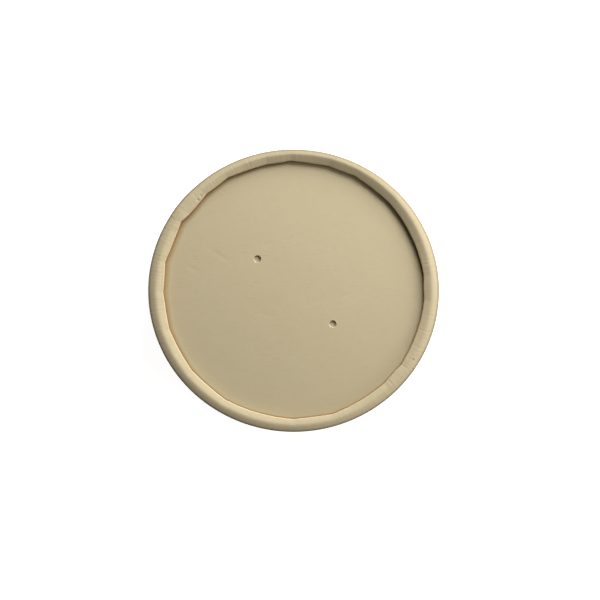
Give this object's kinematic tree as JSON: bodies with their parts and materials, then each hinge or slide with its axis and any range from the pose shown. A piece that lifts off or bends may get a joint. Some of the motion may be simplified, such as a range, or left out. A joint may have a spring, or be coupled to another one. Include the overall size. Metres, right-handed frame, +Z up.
{
  "type": "bamboo fibre container lid",
  "caption": "Round lid of bamboo fibre board with a recessed disc, two pressed vent pits, a rolled creased rim and a short skirt.",
  "frame": {"origin": "centre of the ring that the lid rests on, skirt down, at the middle of the outline", "axes": "+Z up, out of the disc's top; +X along the outline's longer width, with the glued seam on the -X side"},
  "size_m": [0.1024, 0.0995, 0.0141],
  "materials": {
    "disc_board": "uncoated pressed bamboo fibre board, matt, fine fibre mottling",
    "strip_board": "uncoated bamboo fibre board, matt, rolled and creased"
  },
  "bodies": {
    "root": {"top_disc": "disc_board", "rim_band": "strip_board"}
  },
  "joints": []
}
